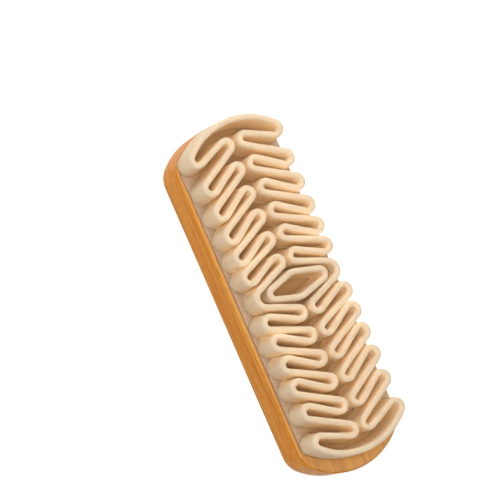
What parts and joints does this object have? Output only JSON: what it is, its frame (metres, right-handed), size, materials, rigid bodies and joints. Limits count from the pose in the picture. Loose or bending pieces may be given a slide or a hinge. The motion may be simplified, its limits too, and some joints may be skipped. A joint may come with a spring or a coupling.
{
  "type": "suede brush",
  "caption": "Flat wooden block with arched ends carrying a folded crepe rubber wall and a central ring, for brushing suede.",
  "frame": {"origin": "centre of the flat back of the wooden block", "axes": "+X along the brush, towards the end with more bare wood; +Y across it; +Z from the wooden back towards the crests of the crepe"},
  "size_m": [0.131, 0.0412, 0.0276],
  "materials": {
    "wood": "oiled, satin",
    "glue": "matt",
    "crepe": "soft matt"
  },
  "bodies": {
    "root": {"wood_block": "wood", "glue_film": "glue", "backing_sheet": "crepe", "crepe_ribbon": "crepe", "centre_ring": "crepe"}
  },
  "joints": []
}
